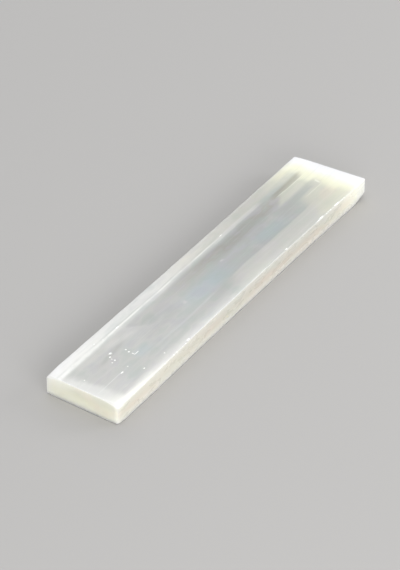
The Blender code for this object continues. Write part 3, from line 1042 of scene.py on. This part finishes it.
# Partly bruise, partly painted glow on the rounded shoulder
stone_colour = lay_over(stone_colour, shoulder, "#EEECE4")
endwards = add(tree, "ShaderNodeMath", {0: facing["X"]}, operation="ABSOLUTE")
sidewards = add(tree, "ShaderNodeMath", {0: facing["Y"]}, operation="ABSOLUTE")
corner = add(tree, "ShaderNodeMath", {0: endwards, 1: sidewards}, operation="MINIMUM")
corner_from = add(tree, "ShaderNodeMapRange", {
    "Value": facing["Y"], "From Min": -0.3, "From Max": 0.3, "To Min": 0.60, "To Max": 0.40,
})
corner_most = add(tree, "ShaderNodeMapRange", {
    "Value": facing["Y"], "From Min": -0.3, "From Max": 0.3, "To Min": 0.20, "To Max": 0.95,
})
# Partly bruise, partly a painted highlight down the upright corners
corner_bruise_and_highlight = add(tree, "ShaderNodeMapRange", {
    "Value": corner, "From Min": corner_from, "From Max": 0.69, "To Max": corner_most,
})
stone_colour = lay_over(stone_colour, corner_bruise_and_highlight, "#FFFFF6")
# Painted light: a white line along the foot, against the shade where the stone meets the floor
painted_foot_light = add(tree, "ShaderNodeMapRange", {
    "Value": axis["Z"], "From Min": 1.0, "From Max": 0.5, "To Max": 0.85,
})
painted_foot_light = add(tree, "ShaderNodeMath", {0: painted_foot_light, 1: is_side}, operation="MULTIPLY")
stone_colour = lay_over(stone_colour, painted_foot_light, "#FFFFFA")
print(f"shoulder, corners and foot: {len(tree.nodes)} nodes")

# %% [markdown]
# ### Worn edges and their painted highlight
#
# The edges of the top are bruised too, more in some stretches than in others, and the line is nibbled rather
# than ruled. The white line is partly that bruise and partly a painted highlight, for the light that the
# rounded edges catch. It reads the closeness kept on the mesh. A last, faint halo surrounds each pit and
# chip.

# %% The nibbled white line along the edges
EDGE_SOFTNESS = 0.14  # how much closer to the edge the line is white all through
edge = add(tree, "ShaderNodeAttribute", attribute_name="edge").outputs["Fac"]
bruise_and_highlight_along = share_by_place(axis["X"], -END_MM, END_MM, (
    (-101, 0.5), (-93, 0.5), (-49, 0.55), (-44, 0.05), (-34, 0.05), (-30, 0.28), (14, 0.22), (18, 0.05),
    (34, 0.15), (38, 0.05), (44, 0.18), (53, 0.15), (56, 0.05), (60, 0.95), (70, 0.70), (80, 0.9), (83, 0.2),
    (92, 0.4), (101, 1.0),
))
width = add(tree, "ShaderNodeMapRange", {
    "Value": bruise_and_highlight_along, "From Min": 0.6, "From Max": 1.0, "To Min": 0.84, "To Max": 0.77,
})
full_width = add(tree, "ShaderNodeMath", {0: width, 1: EDGE_SOFTNESS}, operation="ADD")
nibbles = lumps((2.2, 1.5, 1.5), detail=2.0)
nibbled = add(tree, "ShaderNodeMapRange", {
    "Value": nibbles, "From Min": 0.35, "From Max": 0.65, "To Min": -0.16, "To Max": 0.08,
})
edge = add(tree, "ShaderNodeMath", {0: edge, 1: nibbled}, operation="ADD")
edge_line = add(tree, "ShaderNodeMapRange", {
    "Value": edge, "From Min": width, "From Max": full_width,
}, interpolation_type="SMOOTHSTEP")
on_left = add(tree, "ShaderNodeMapRange", {"Value": axis["Y"], "From Min": 0, "From Max": 5, "To Max": 0.6})
bruise_and_highlight_along = add(tree, "ShaderNodeMath", {0: bruise_and_highlight_along, 1: on_left}, operation="MAXIMUM")
edge_bruise_and_highlight = add(tree, "ShaderNodeMath", {0: edge_line, 1: wear_strength}, operation="MULTIPLY")
edge_bruise_and_highlight = add(tree, "ShaderNodeMath", {0: edge_bruise_and_highlight, 1: bruise_and_highlight_along}, operation="MULTIPLY")
# Partly bruise, partly a painted highlight along the edges
stone_colour = lay_over(stone_colour, edge_bruise_and_highlight, "#FFFFFA")
halo = add(tree, "ShaderNodeAttribute", attribute_name="bruise").outputs["Fac"]
halo = add(tree, "ShaderNodeMath", {0: halo, 1: 0.4}, operation="MULTIPLY")
stone_colour = lay_over(stone_colour, halo, "#FFFFFF")

tree.links.new(used(stone_colour), shader.inputs["Base Color"])
print(f"the colour is done: {len(tree.nodes)} nodes")

# %% [markdown]
# ### Clear, shiny and smooth
#
# Where the stone is clear, a little of the light goes straight through it. The top is polished until it
# shines, the sides less so, and the sawn ends least of all. Under the polish the fibres still stand a
# hundredth of a millimetre proud, and the sides keep a finer grain.

# %% Transmission, roughness and relief
CLEAREST = 0.12  # the share of the light that the clearest stone lets straight through
FIBRE_RELIEF = 0.01 * MM
SCATTER = 7 * MM  # how far light travels inside before it comes out again

polished = add(tree, "ShaderNodeMath", {0: 1.0, 1: is_side}, operation="SUBTRACT")
see_through = add(tree, "ShaderNodeMath", {0: clear, 1: CLEAREST}, operation="MULTIPLY")
see_through = add(tree, "ShaderNodeMath", {0: see_through, 1: polished}, operation="MULTIPLY")
tree.links.new(used(see_through), shader.inputs["Transmission Weight"])

sheen = add(tree, "ShaderNodeMapRange", {
    "Value": broad_silk, "From Min": 0.35, "From Max": 0.65, "To Min": 0.11, "To Max": 0.20,
})
rubbed = add(tree, "ShaderNodeMapRange", {
    "Value": wear, "From Min": 0.35, "From Max": 0.65, "To Min": 0.22, "To Max": 0.36,
})
sawn = add(tree, "ShaderNodeMapRange", {
    "Value": endwards, "From Min": 0.6, "From Max": 0.9, "To Max": 0.12,
})
roughness = add(tree, "ShaderNodeMix", {"Factor": is_side, "A": sheen, "B": rubbed})
roughness = add(tree, "ShaderNodeMath", {0: roughness, 1: sawn}, operation="ADD")
tree.links.new(used(roughness), shader.inputs["Roughness"])

grain = lumps((1.6, 0.35, 0.35), detail=2.0)
faint_grain = add(tree, "ShaderNodeMath", {0: grain, 1: 0.14}, operation="MULTIPLY")
relief = add(tree, "ShaderNodeMix", {"Factor": is_side, "A": fine_silk, "B": faint_grain})
bump = add(tree, "ShaderNodeBump", {"Height": relief, "Strength": 1.0, "Distance": FIBRE_RELIEF})
tree.links.new(used(bump), shader.inputs["Normal"])
shader.inputs["IOR"].default_value = GYPSUM_IOR
shader.inputs["Subsurface Weight"].default_value = 1.0
shader.inputs["Subsurface Radius"].default_value = (SCATTER, SCATTER, SCATTER)
shader.inputs["Subsurface Scale"].default_value = 1.0
print(f"{gypsum.name}: {len(tree.nodes)} nodes, index {GYPSUM_IOR}")

# %% [markdown]
# ## Bruised gypsum
#
# Crushed gypsum looks like plaster: countless tiny faces send every colour back in every direction. So a
# pit is white and matt, however clear the stone around it is. Its crumbs are about a third of a millimetre
# across.

# %% White, matt and crumbly
CRUMB = 0.35 * MM
bruised.use_nodes = True
tree = bruised.node_tree
broken = tree.nodes["Principled BSDF"]
here = add(tree, "ShaderNodeTexCoord").outputs["Object"]
crumbs = add(tree, "ShaderNodeTexNoise", {"Vector": here, "Scale": 1 / CRUMB, "Detail": 2.0})
plaster = lay_over(linear("#FFFFFC"), add(tree, "ShaderNodeMapRange", {
    "Value": crumbs, "From Min": 0.55, "From Max": 0.35, "To Max": 0.5,
}), "#F6F6F2")
matt = add(tree, "ShaderNodeMapRange", {
    "Value": crumbs, "From Min": 0.35, "From Max": 0.65, "To Min": 0.48, "To Max": 0.62,
})
crumbly = add(tree, "ShaderNodeBump", {"Height": crumbs, "Strength": 1.0, "Distance": 0.02 * MM})
tree.links.new(used(plaster), broken.inputs["Base Color"])
tree.links.new(used(matt), broken.inputs["Roughness"])
tree.links.new(used(crumbly), broken.inputs["Normal"])
broken.inputs["IOR"].default_value = GYPSUM_IOR
print(f"{bruised.name}: {len(tree.nodes)} nodes")

# %% [markdown]
# ## Floor and light
#
# The floor is pale matt paper. A pale, even sky fills the shadows. A large softbox overhead and one high
# behind the far end light the top, and two low ones make the near end and the right side glow, as milky
# stone does with light inside it.

# %% A sheet of pale paper
floor_mesh = bpy.data.meshes.new("floor")
floor_mesh.from_pydata([(-4, -4, 0), (4, -4, 0), (4, 4, 0), (-4, 4, 0)], [], [(0, 1, 2, 3)])
floor = bpy.data.objects.new("floor", floor_mesh)
bpy.context.scene.collection.objects.link(floor)
paper = bpy.data.materials.new("matt_paper")
paper.use_nodes = True
sheet = paper.node_tree.nodes["Principled BSDF"]
sheet.inputs["Base Color"].default_value = linear("#B9B7B4")
sheet.inputs["Roughness"].default_value = 0.9
floor_mesh.materials.append(paper)
print("floor of", paper.name)

# %% Sky and softboxes
world = bpy.data.worlds.new("studio")
bpy.context.scene.world = world
world.use_nodes = True
sky = world.node_tree.nodes["Background"]
sky.inputs["Color"].default_value = linear("#F4F6FA")
sky.inputs["Strength"].default_value = 0.70


def softbox(name, place, aim, size, watts):
    """A rectangular lamp at a place, turned towards what it lights. Sizes are in metres."""
    lamp = bpy.data.lights.new(name, "AREA")
    lamp.shape = "RECTANGLE"
    lamp.size, lamp.size_y = size
    lamp.energy = watts
    box = bpy.data.objects.new(name, lamp)
    box.location = place
    box.rotation_euler = (Vector(aim) - Vector(place)).to_track_quat("-Z", "Y").to_euler()
    bpy.context.scene.collection.objects.link(box)
    return box


softbox("overhead", (0.0, 0.1, 1.1), (0, 0, 0), (1.1, 1.1), 2.6)
softbox("behind", (0.85, 0.50, 0.75), (0.03, 0, 0), (1.5, 0.8), 2.6)
front = softbox("front", (-0.65, -0.75, 0.30), (0, 0, 0), (0.9, 0.4), 6.3)
far_side = softbox("far_side", (0.50, -0.50, 0.30), (0.08, 0, 0), (0.3, 0.3), 1.2)
for low_lamp in (front, far_side):
    low_lamp.visible_glossy = False  # or the polished top throws it back as glare, seen from behind
print("lamps:", [lamp.name for lamp in bpy.data.lights])

# %% [markdown]
# ## Camera
#
# The camera looks down on the slab from beyond its near right corner, through a long lens, so the far end
# looks only a little smaller than the near one.

# %% The camera's place, aim and lens
AZIMUTH, ELEVATION = math.radians(-56.90), math.radians(36.07)
DISTANCE = 1.0902
FOCAL_PX, LONG_SIDE_PX = 2420.1, 570
SENSOR_MM = 36.0
target = Vector((0.00006, 0.00741, 0))
back = Vector((
    math.sin(AZIMUTH) * math.cos(ELEVATION), -math.cos(AZIMUTH) * math.cos(ELEVATION), math.sin(ELEVATION),
))
lens = bpy.data.cameras.new("camera")
lens.sensor_width = SENSOR_MM
lens.lens = FOCAL_PX / LONG_SIDE_PX * SENSOR_MM
lens.clip_start = 0.01
camera = bpy.data.objects.new("camera", lens)
camera.location = target + back * DISTANCE
camera.rotation_euler = (-back).to_track_quat("-Z", "Y").to_euler()
bpy.context.scene.collection.objects.link(camera)
bpy.context.scene.camera = camera
bpy.context.scene.view_settings.view_transform = "Standard"
print(f"camera {DISTANCE:.2f} m away, lens {lens.lens:.0f} mm")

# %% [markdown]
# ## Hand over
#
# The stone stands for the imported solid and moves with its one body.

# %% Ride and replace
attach(stone, "root")
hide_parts("slab")
